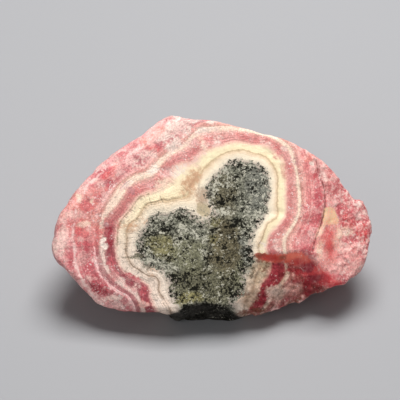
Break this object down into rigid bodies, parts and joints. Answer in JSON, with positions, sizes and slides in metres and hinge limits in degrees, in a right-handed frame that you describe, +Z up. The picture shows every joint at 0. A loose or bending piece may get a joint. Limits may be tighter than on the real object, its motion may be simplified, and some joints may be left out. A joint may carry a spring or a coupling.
{
  "type": "rhodochrosite specimen",
  "caption": "Rough broken chunk of banded pink rhodochrosite with a nearly flat face tilted up, resting on a flat base facet.",
  "frame": {"origin": "middle of the flat base facet that the stone rests on", "axes": "+Z up, +X along the banded face towards the tip on its right, and the banded face looks towards -Y and up"},
  "size_m": [0.0914, 0.0537, 0.0434],
  "materials": {
    "rhodochrosite": "rough broken stone, matt with small cleavage glints"
  },
  "bodies": {
    "root": {"rhodochrosite_slice": "rhodochrosite"}
  },
  "joints": []
}
